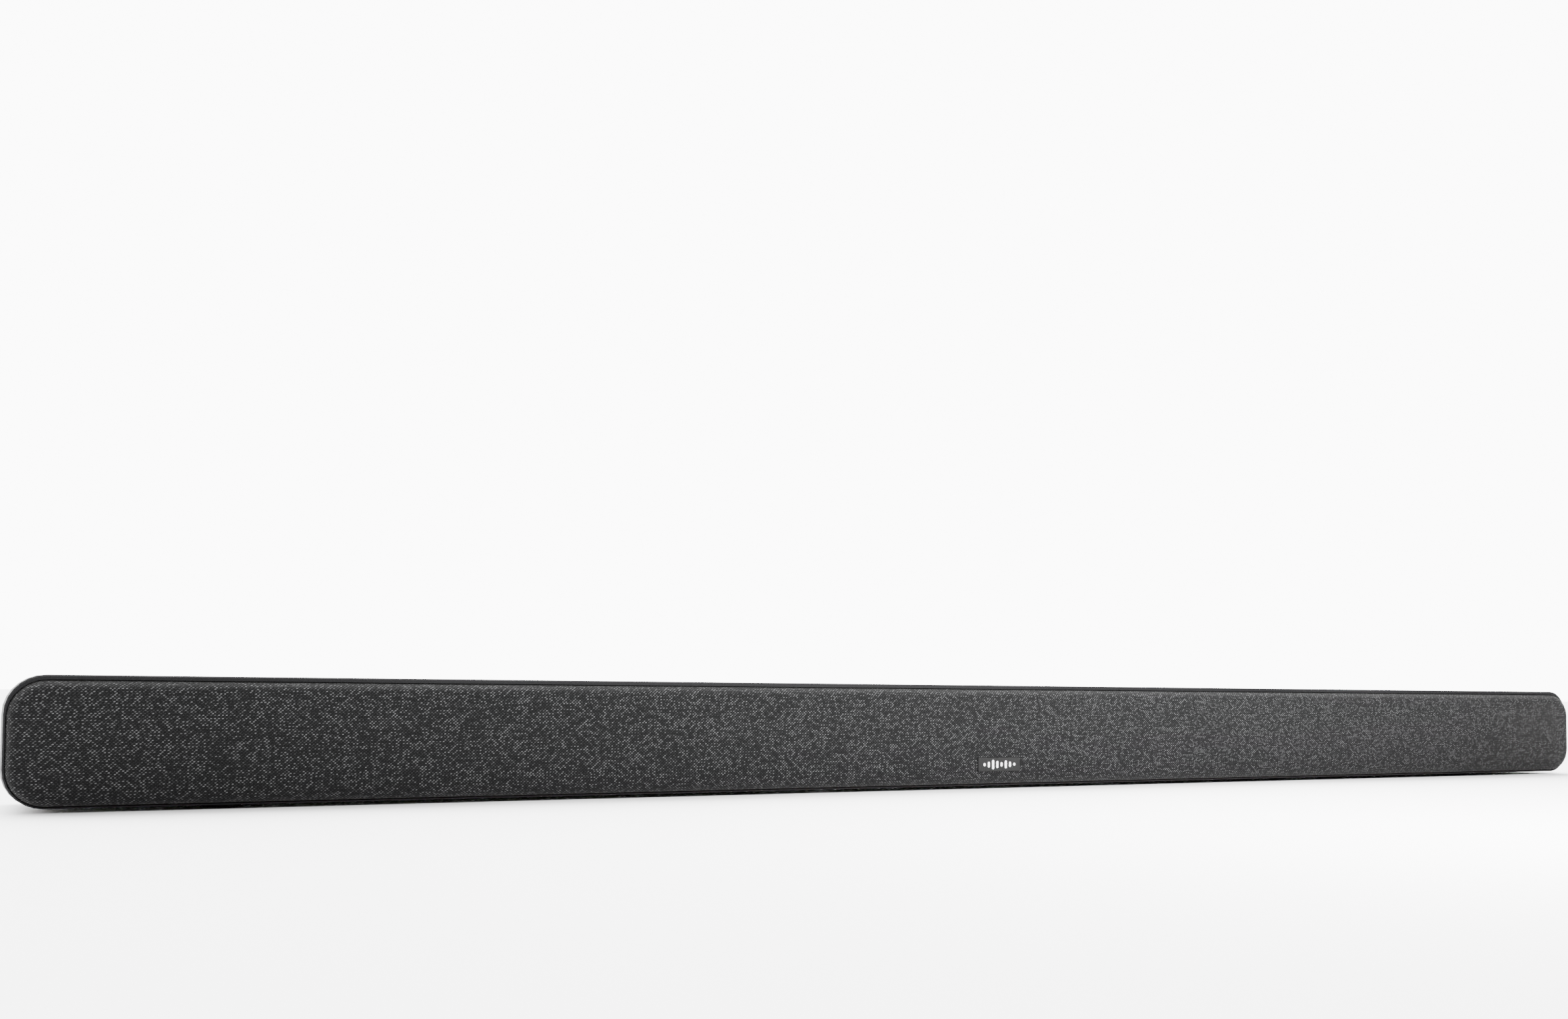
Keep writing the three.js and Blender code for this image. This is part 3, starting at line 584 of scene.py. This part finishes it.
def grow(name, group, places, finish, settings, body=housing, angle=35):
    # runs a tree on a bare set of points and keeps the mesh that comes out
    mesh = bpy.data.meshes.new(name)
    mesh.from_pydata(places, [], [])
    scratch = bpy.data.objects.new("scratch", mesh)
    bpy.context.scene.collection.objects.link(scratch)
    modifier = scratch.modifiers.new("grow", "NODES")
    modifier.node_group = group
    for socket in group.interface.items_tree:
        if socket.in_out == "INPUT" and socket.name in settings:
            modifier[socket.identifier] = settings[socket.name]
        elif socket.in_out == "INPUT" and socket.name == "Finish":
            modifier[socket.identifier] = finish
    scratch.update_tag()
    final = evaluated(scratch)
    bpy.data.objects.remove(scratch)
    softenEdges(final, angle)
    return link(name, final, finish, body)


def screwTree():
    # a pan head with a cross recess on each point, every one turned its own way
    def build(tree, given):
        radius, height, width = given("Head Radius"), given("Head Height"), given("Recess Width")
        skirt = tree.add("GeometryNodeMeshCone", {}, {
            "Vertices": 40, "Radius Top": radius * 0.97, "Radius Bottom": radius, "Depth": height * 0.55})
        crown = tree.add("GeometryNodeMeshCone", {}, {
            "Vertices": 40, "Radius Top": radius * 0.74, "Radius Bottom": radius * 0.97,
            "Depth": height * 0.45})
        raised = tree.add("GeometryNodeTransform", {}, {
            0: crown, "Translation": tree.add("ShaderNodeCombineXYZ", {}, {2: height * 0.55})})
        both = tree.add("GeometryNodeJoinGeometry", {}, {0: skirt})
        tree.nodeTree.links.new(raised.socket, both.socket.node.inputs[0])
        head = tree.add("GeometryNodeMergeByDistance", {}, {0: both, "Distance": 0.00001})
        depth = tree.add("ShaderNodeCombineXYZ", {}, {2: height})
        arms = []
        for across in (0, 1):
            sides = {across: radius * 1.15, 1 - across: width, 2: height * 1.1}
            size = tree.add("ShaderNodeCombineXYZ", {}, sides)
            arm = tree.add("GeometryNodeMeshCube", {}, {"Size": size})
            arms.append(tree.add("GeometryNodeTransform", {}, {0: arm, "Translation": depth}))
        cutOut = tree.add("GeometryNodeMeshBoolean", {"operation": "DIFFERENCE"}, {0: head, 1: arms[0]})
        tree.nodeTree.links.new(arms[1].socket, cutOut.socket.node.inputs[1])
        spots = tree.add("GeometryNodeMeshToPoints", {}, {0: given("Geometry")})
        set_ = tree.add("GeometryNodeInstanceOnPoints", {}, {
            0: spots, "Instance": cutOut, "Rotation": given("Facing")})
        spread = {"Min": 0.0, "Max": 1.5, "Seed": given("Seed")}
        spin = tree.add("FunctionNodeRandomValue", {}, spread, output=1)
        turned = tree.add("ShaderNodeCombineXYZ", {}, {2: spin})
        return tree.add("GeometryNodeRotateInstances", {}, {0: set_, "Rotation": turned})

    inputs = {
        "Head Radius": ("Float", 0.0032), "Head Height": ("Float", 0.0024),
        "Recess Width": ("Float", 0.0009),
        "Facing": ("Vector", (0, 0, 0)), "Seed": ("Int", 1), "Finish": ("Material", None),
    }
    return growTree("screwHeads", inputs, build)


def rowTree():
    # a row of equal blocks along X from each point: contacts, pins and feet of chips
    def build(tree, given):
        block = tree.add("GeometryNodeMeshCube", {}, {"Size": given("Block")})
        step = tree.add("ShaderNodeCombineXYZ", {}, {0: given("Pitch")})
        line = tree.add("GeometryNodeMeshLine", {}, {"Count": given("Count"), "Offset": step})
        reach = (given("Count") - 1.0) * given("Pitch") * -0.5
        middle = tree.add("ShaderNodeCombineXYZ", {}, {0: reach})
        centred = tree.add("GeometryNodeTransform", {}, {0: line, "Translation": middle})
        row = tree.add("GeometryNodeInstanceOnPoints", {}, {0: centred, "Instance": block})
        spots = tree.add("GeometryNodeMeshToPoints", {}, {0: given("Geometry")})
        return tree.add("GeometryNodeInstanceOnPoints", {}, {0: spots, "Instance": row})

    inputs = {
        "Count": ("Int", 8), "Pitch": ("Float", 0.001), "Block": ("Vector", (0.0005, 0.004, 0.0003)),
        "Finish": ("Material", None),
    }
    return growTree("contactRow", inputs, build)


def scatterTree():
    # small components on a board: blocks of random size on a thinned grid
    def build(tree, given):
        grid = tree.add("GeometryNodeMeshGrid", {}, {
            "Size X": given("Length"), "Size Y": given("Width"),
            "Vertices X": given("Columns"), "Vertices Y": given("Rows")})
        chance = tree.add("FunctionNodeRandomValue", {"data_type": "BOOLEAN"},
                          {"Probability": given("Thinning"), "Seed": given("Seed")}, output=3)
        kept = tree.add("GeometryNodeDeleteGeometry", {}, {0: grid, "Selection": chance})
        spots = tree.add("GeometryNodeMeshToPoints", {}, {0: kept})
        low, high = (0.0008, 0.0006, 0.0004), (0.0026, 0.0014, 0.0011)
        size = tree.add("FunctionNodeRandomValue", {"data_type": "FLOAT_VECTOR"},
                        {0: low, 1: high, "Seed": given("Seed") + 5}, output=0)
        cube = tree.add("GeometryNodeMeshCube", {}, {"Size": (1, 1, 1)})
        up = tree.add("GeometryNodeTransform", {}, {0: cube, "Translation": (0, 0, 0.5)})
        made = tree.add("GeometryNodeInstanceOnPoints", {}, {0: spots, "Instance": up, "Scale": size})
        boards = tree.add("GeometryNodeMeshToPoints", {}, {0: given("Geometry")})
        return tree.add("GeometryNodeInstanceOnPoints", {}, {0: boards, "Instance": made})

    inputs = {
        "Length": ("Float", 0.05), "Width": ("Float", 0.02), "Columns": ("Int", 12), "Rows": ("Int", 6),
        "Thinning": ("Float", 0.45), "Seed": ("Int", 3), "Finish": ("Material", None),
    }
    return growTree("boardParts", inputs, build)


# fixings

screws = {
    "radius": 3.2, "height": 2.4, "recess": 1.0,
    "shank": 1.4, "root": 1.15, "threads": 26,
    "tip": ((0.0, 0.0), (1.2, 0.9), (2.5, 1.4)),  # distance from the end and radius
}


def makeScrews(tree, finish):
    # the six cabinet screws, with the shanks that CAD gives them
    names = [name for name in nodes if name.endswith("_cabinet_screw")]
    places, shanks = [], bmesh.new()
    for name in names:
        low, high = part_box(name)
        x, z = (low.x + high.x) / 2, (low.z + high.z) / 2
        places.append((x, high.y - screws["height"] * mm * 0.725, z))  # the skirt's middle
        profile = [(low.y + away * mm, radius * mm) for away, radius in screws["tip"]]
        start, end = profile[-1][0], high.y - screws["height"] * mm
        for i in range(screws["threads"]):
            at = start + (end - start) * (i + 0.5) / screws["threads"]
            profile += [(at - 0.1 * mm, screws["root"] * mm), (at, screws["shank"] * mm)]
        profile += [(end, screws["shank"] * mm), (end, 0.0)]
        turnProfile(shanks, profile, (x, z), 20)
    settings = {
        "Head Radius": screws["radius"] * mm, "Head Height": screws["height"] * mm,
        "Recess Width": screws["recess"] * mm, "Facing": (-math.pi / 2, 0, 0), "Seed": 4,
    }
    heads = grow("cabinet_screw_heads", tree, places, finish, settings)
    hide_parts(*names)
    mesh = meshOf("cabinetScrewShanks", shanks)
    softenEdges(mesh)
    link("cabinet_screw_shanks", mesh, finish)


def turnProfile(made, profile, centre, sides):
    # a profile of (y, radius) turned about a line along Y into a bmesh
    rings = []
    for y, radius in profile:
        if radius == 0.0:
            rings.append([made.verts.new((centre[0], y, centre[1]))])
            continue
        ring = []
        for i in range(sides):
            angle = 2 * math.pi * i / sides
            x, z = centre[0] + radius * math.cos(angle), centre[1] + radius * math.sin(angle)
            ring.append(made.verts.new((x, y, z)))
        rings.append(ring)
    for near, far in zip(rings, rings[1:]):
        for i in range(sides):
            j = (i + 1) % sides
            corners = [near[i % len(near)], near[j % len(near)], far[j % len(far)], far[i % len(far)]]
            made.faces.new(list(dict.fromkeys(corners)))


feet = {
    "sides": 64,
    # radius and height of each turn
    "profile": ((0, 0.35), (4.6, 0.35), (5.0, 0.0), (5.6, 0.0), (5.9, 0.3), (6.5, 0.3), (6.8, 0.0),
                (8.3, 0.0), (8.8, 0.15), (9.0, 0.6), (9.0, 2.7), (0, 2.7)),
}


def makeFeet(finish):
    for name in [name for name in nodes if name.endswith("_foot")]:
        low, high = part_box(name)
        middle = (low + high) / 2
        made = bmesh.new()
        profile = [(height * mm, radius * mm) for radius, height in feet["profile"]]
        turnProfile(made, profile, (0.0, 0.0), feet["sides"])
        stand = Matrix.Translation((middle.x, middle.y, low.z)) @ Matrix.Rotation(math.pi / 2, 4, "X")
        bmesh.ops.transform(made, matrix=stand, verts=made.verts)
        mesh = meshOf(name + "Pad", made)
        softenEdges(mesh)
        foot = link(name + "_pad", mesh, finish)
        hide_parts(name)


# keys with their symbols

keys = {
    "rounding": 0.3,
    "line": 0.34,  # half the width of a symbol's line
    "lift": 0.03,
    "symbols": {
        "power_button": [("arc", 1.7, 125, 415), ("bar", 0, 0.6, 0, 2.2)],
        "source_button": [("bar", -2.6, 0, 0.5, 0), ("bar", -0.4, 0.9, 0.6, 0), ("bar", -0.4, -0.9, 0.6, 0),
                          ("bar", 0.2, 1.9, 2.4, 1.9), ("bar", 0.2, -1.9, 2.4, -1.9),
                          ("bar", 2.4, -1.9, 2.4, 1.9)],
        "pairing_button": [("arc", 0.8, 0, 360), ("arc", 2.0, -50, 50), ("arc", 2.0, 130, 230)],
        "volume_down_button": [("bar", -1.7, 0, 1.7, 0)],
        "volume_up_button": [("bar", -1.7, 0, 1.7, 0), ("bar", 0, -1.7, 0, 1.7)],
    },
}


def strokePoints(stroke):
    if stroke[0] == "bar":
        return [Vector(stroke[1:3]), Vector(stroke[3:5])]
    radius, start, end = stroke[1:]
    steps = 32
    points = []
    for i in range(steps + 1):
        angle = math.radians(start + (end - start) * i / steps)
        points.append(Vector((radius * math.cos(angle), radius * math.sin(angle))))
    return points


def addStroke(made, points, half, place, top):
    # a flat printed line of even width along the points
    left, right = [], []
    for i, point in enumerate(points):
        along = (points[min(i + 1, len(points) - 1)] - points[max(i - 1, 0)]).normalized()
        side = Vector((-along.y, along.x)) * half
        left.append(point + side)
        right.append(point - side)
    rows = []
    for height in (top, top + keys["lift"]):
        rows.append([
            [made.verts.new(((p.x + place[0]) * mm, (p.y + place[1]) * mm, height * mm)) for p in edge]
            for edge in (left, right)])
    (lowLeft, lowRight), (highLeft, highRight) = rows
    for i in range(len(points) - 1):
        made.faces.new((highLeft[i], highRight[i], highRight[i + 1], highLeft[i + 1]))
        made.faces.new((lowLeft[i], lowLeft[i + 1], lowRight[i + 1], lowRight[i]))
        made.faces.new((lowLeft[i], highLeft[i], highLeft[i + 1], lowLeft[i + 1]))
        made.faces.new((lowRight[i], lowRight[i + 1], highRight[i + 1], highRight[i]))
    for i in (0, -1):
        made.faces.new((lowLeft[i], lowRight[i], highRight[i], highLeft[i]))


def makeKeys(keyFinish, markFinish):
    for name, strokes in keys["symbols"].items():
        body = nodes[name]["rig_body"]
        cap = refine(name, name + "_cap", keyFinish, keys["rounding"], body)
        low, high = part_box(name)
        made = bmesh.new()
        for stroke in strokes:
            place = ((low.x + high.x) / 2 / mm, (low.y + high.y) / 2 / mm)
            addStroke(made, strokePoints(stroke), keys["line"], place, high.z / mm - 0.005)
        mesh = meshOf(name + "Symbol", made)
        link(name + "_symbol", mesh, markFinish, body)


# sockets: contacts, screws and printed words on the rear panel

panel = {
    "words": (("LAN", -118), ("5 V", -92), ("IN", -65), ("OUT", -38), ("OPTICAL", -11), ("AUX", 12)),
    "wordSize": 2.9,
    "wordHeight": 27.6,
    "screws": ((-134.5, 8.5), (-134.5, 29.5), (44.5, 8.5), (44.5, 29.5)),
    "screwRadius": 1.7, "screwHeight": 1.2, "screwRecess": 0.6,
    "inletReach": 12,  # from the mains inlet's middle to its screws
    "tweeterReach": 17.8,
    "contacts": (
        # count, pitch, block, place
        (8, 1.02, (0.42, 7.5, 0.3), (-118, 16.0, 20.7)),
        (4, 2.1, (1.1, 6.0, 0.12), (-92, 18.5, 14.56)),
        (10, 1.0, (0.45, 5.0, 0.12), (-65, 18.5, 14.64)),
        (10, 1.0, (0.45, 5.0, 0.12), (-38, 18.5, 14.64)),
    ),
}


def addWords(name, words, size, place, turn, finish):
    # printed words as a thin mesh
    data = bpy.data.curves.new(name, "FONT")
    data.body = words
    data.size = size * mm
    data.extrude = 0.02 * mm
    data.resolution_u = 3
    data.align_x = "CENTER"
    scratch = bpy.data.objects.new("scratch", data)
    bpy.context.scene.collection.objects.link(scratch)
    mesh = evaluated(scratch)
    bpy.data.objects.remove(scratch)
    stand = Matrix.Translation([v * mm for v in place]) @ Euler(turn).to_matrix().to_4x4()
    mesh.transform(stand)
    return link(name, mesh, finish)


def makeSocketDetails(finishes, heads, rows):
    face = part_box("jack_panel")[1].y
    for words, x in panel["words"]:
        place = (x, face / mm + 0.01, panel["wordHeight"])
        turn = (math.pi / 2, 0, math.pi)
        label = "word_" + words.lower().replace(" ", "")
        addWords(label, words, panel["wordSize"], place, turn, finishes["mark"])
    for i, (count, pitch, block, place) in enumerate(panel["contacts"]):
        settings = {"Count": count, "Pitch": pitch * mm, "Block": [v * mm for v in block]}
        contacts = grow(f"contacts_{i}", rows, [[v * mm for v in place]], finishes["gold"], settings)
    small = {
        "Head Radius": panel["screwRadius"] * mm, "Head Height": panel["screwHeight"] * mm,
        "Recess Width": panel["screwRecess"] * mm, "Facing": (-math.pi / 2, 0, 0), "Seed": 9,
    }
    places = [(x * mm, face, z * mm) for x, z in panel["screws"]]
    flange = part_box("mains_inlet")
    middle = (flange[0] + flange[1]) / 2
    places += [(middle.x + side * panel["inletReach"] * mm, flange[1].y, middle.z) for side in (-1, 1)]
    grow("panel_screws", heads, places, finishes["screw"], small)
    small["Facing"] = (math.pi / 2, 0, 0)
    places = []
    for side in ("left", "right"):
        low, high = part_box(side + "_tweeter_body")
        for corner in range(4):
            angle = math.pi / 4 + corner * math.pi / 2
            reach = panel["tweeterReach"] * mm
            places.append(((low.x + high.x) / 2 + reach * math.cos(angle), low.y,
                           (low.z + high.z) / 2 + reach * math.sin(angle)))
    grow("tweeter_screws", heads, places, finishes["screw"], small)


# boards: small components in patches

patches = (
    # name, middle, length, width, columns, rows, seed
    ("main_board_parts", (-66, -8), 26, 14, 11, 7, 3),
    ("main_board_rear_parts", (-30, 2), 46, 10, 18, 5, 8),
    ("power_board_parts", (146, 9), 56, 10, 15, 4, 5),
)
patchRise = 6.4  # board top above the foot of the jack panel


def makeBoardParts(tree, finish):
    for name, (x, y), length, width, columns, rows, seed in patches:
        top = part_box("jack_panel")[0].z + patchRise * mm
        settings = {"Length": length * mm, "Width": width * mm,
                    "Columns": columns, "Rows": rows, "Seed": seed}
        grow(name, tree, [(x * mm, y * mm, top)], finish, settings)


# the underside's rating label

rating = {
    "middle": (-215.0, 6.0),
    "size": (92.0, 26.0),
    "thickness": 0.08,
    "lines": ("SOUNDBAR", "100-240 V ~  50/60 Hz"),
    "lineSizes": (5.0, 3.6),
    "lineStarts": (2.4, -6.0),
}


def makeRating(paper, ink):
    x, y = rating["middle"]
    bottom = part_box("rear_cabinet")[0].z
    made = bmesh.new()
    size = {"x": x * mm, "z": 0.0, "w": rating["size"][0] * mm, "h": rating["size"][1] * mm, "r": 1.5 * mm}
    addPrism(made, size, 0.0, rating["thickness"] * mm, 6)
    lowered = Matrix.Translation((0, y * mm, bottom - rating["thickness"] * mm))
    stand = lowered @ Matrix.Rotation(math.pi / 2, 4, "X")
    bmesh.ops.transform(made, matrix=stand, verts=made.verts)
    link("rating_label", meshOf("ratingLabel", made), paper)
    for i, (words, tall, start) in enumerate(zip(rating["lines"], rating["lineSizes"], rating["lineStarts"])):
        place = (x, y - start, bottom / mm - rating["thickness"] - 0.01)
        line = addWords(f"rating_line_{i}", words, tall, place, (math.pi, 0, 0), ink)


# every other CAD node, merged and finished, and rounded where it has a width

plain = (
    # what the name holds, finish, slot, rounding in mm
    ("_woofer_basket", "basket", "basket_steel", 0.3),
    ("_tweeter_body", "basket", "basket_steel", 0.3),
    ("_magnet", "magnet", "magnet_steel", 0.4),
    ("_surround", "surround", "surround_rubber", None),
    ("_cone", "paper", "cone_paper", None),
    ("_dome", "silk", "dome_silk", None),
    ("button_board", "board", "board_green", None),
    ("_board", "board", "board_green", 0.1),
    ("wireless_module", "board", "board_green", 0.1),
    ("heat_sink", "alloy", "heat_sink_alloy", 0.15),
    ("_speaker_lead", "vinyl", "lead_vinyl", None),
    ("grille_frame", "inner", "inner_plastic", None),
    ("front_baffle", "inner", "inner_plastic", None),
    ("jack_panel", "inner", "inner_plastic", 0.12),
    ("aux_socket", "socket", "socket_plastic", 0.12),
    ("optical_", "socket", "socket_plastic", 0.1),
    ("mains_inlet", "socket", "socket_plastic", None),
    ("_socket", "plated", "socket_steel", 0.12),
    ("_keyhole_plate", "screw", "screw_steel", 0.15),
)


def makePlain(finishes):
    for name, node in nodes.items():
        row = next((row for row in plain if row[0] in name), None)
        if row is None or node.hide_render:
            continue
        refine(name, name + "_piece", finishes[row[1]], row[3], node["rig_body"])


studio = {
    "front": 0.5, "back": 11.0, "backFrom": 0.0, "backTo": 0.45,
    "key": 15.0, "keyAt": (0.08, -0.5, 0.36), "keySize": 0.35, "keyAim": (0.08, 0.0, 0.03),
    "top": 9.0, "topFrom": (0.0, 0.55, 1.0), "topAngle": 60,
}


def addStage():
    floor = bpy.data.meshes.new("floor")
    reach = 30.0
    corners = [(-reach, -reach, 0), (reach, -reach, 0), (reach, reach, 0), (-reach, reach, 0)]
    floor.from_pydata(corners, [], [(0, 1, 2, 3)])
    piece = bpy.data.objects.new("floor", floor)
    bpy.context.scene.collection.objects.link(piece)

    def build(tree):
        cloud = tree.noise(tree.place(), 3.0, 2.0)
        return {"Base Color": tree.mixColour(cloud, (0.88, 0.88, 0.88), (0.9, 0.9, 0.9))}

    floor.materials.append(makeFinish("paleFloor", {"Roughness": 0.7, "Specular IOR Level": 0.1}, build))

    world = bpy.data.worlds.new("studio")
    bpy.context.scene.world = world
    world.use_nodes = True
    tree = Tree(world.node_tree)
    towards = tree.add("ShaderNodeSeparateXYZ", {}, {0: tree.place("Generated")})
    back = tree.smooth(towards.pick("Y"), studio["backFrom"], studio["backTo"],
                       studio["front"], studio["back"])
    shader = world.node_tree.nodes["Background"]
    world.node_tree.links.new(back.socket, shader.inputs["Strength"])
    shader.inputs["Color"].default_value = (1, 1, 1, 1)
    addPanelLight()
    addSun("topLight", studio["topFrom"], studio["top"], studio["topAngle"])


def addPanelLight():
    data = bpy.data.lights.new("keyLight", "AREA")
    data.energy = studio["key"]
    data.size = studio["keySize"]
    light = bpy.data.objects.new("keyLight", data)
    light.location = studio["keyAt"]
    light.rotation_euler = (Vector(studio["keyAim"]) - light.location).to_track_quat("-Z", "Y").to_euler()
    light.visible_camera = False
    bpy.context.scene.collection.objects.link(light)


def addSun(name, source, strength, angle):
    data = bpy.data.lights.new(name, "SUN")
    data.energy = strength
    data.angle = math.radians(angle)
    light = bpy.data.objects.new(name, data)
    light.rotation_euler = (-Vector(source)).to_track_quat("-Z", "Y").to_euler()
    bpy.context.scene.collection.objects.link(light)


addCamera()
addStage()
print("stage: camera, lights and floor")
finishes = makeFinishes()
makeCloth(finishes["cloth"])
makeBadge(finishes["badge"], finishes["mark"])
refine("rear_cabinet", "cabinet", finishes["cabinet"], None)
refine("top_cover", "top_panel", finishes["panel"], 0.25)
print("stage: outside")
heads, rows, scatter = screwTree(), rowTree(), scatterTree()
makeScrews(heads, finishes["screw"])
makeFeet(finishes["rubber"])
makeKeys(finishes["key"], finishes["mark"])
makeRating(finishes["label"], finishes["chip"])
print("stage: fixings, feet and keys")
makePlain(finishes)
makeSocketDetails(finishes, heads, rows)
makeBoardParts(scatter, finishes["chip"])
print("stage: inside and sockets")
